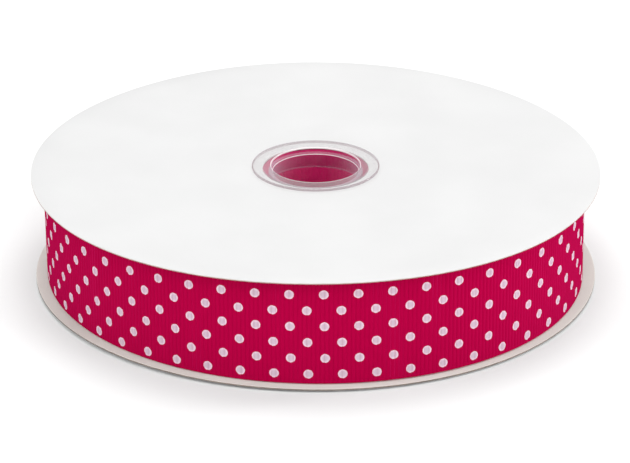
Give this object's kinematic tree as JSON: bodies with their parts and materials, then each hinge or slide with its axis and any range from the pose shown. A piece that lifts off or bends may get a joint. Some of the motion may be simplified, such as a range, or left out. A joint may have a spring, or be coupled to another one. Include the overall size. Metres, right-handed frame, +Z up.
{
  "type": "roll of printed ribbon on a card-sided spool",
  "caption": "Dotted grosgrain ribbon wound flat on a clear plastic hub between two thin round white cards, with a bore for a spindle.",
  "frame": {"origin": "on the surface that the spool lies on, under the middle of the hub", "axes": "+Z up along the hub's axis; +Y away from the viewer, towards the ribbon's loose end"},
  "size_m": [0.205, 0.205, 0.0424],
  "materials": {
    "ribbon": "crimson pink ribbed polyester with white printed dots",
    "card": "smooth white coated board with a thin brown edge",
    "clear_plastic": "clear, slightly milky moulded plastic"
  },
  "bodies": {
    "root": {"ribbon_coil": "ribbon", "lower_card": "card", "upper_card": "card", "hub_sleeve_half": "clear_plastic", "hub_socket_half": "clear_plastic"}
  },
  "joints": []
}
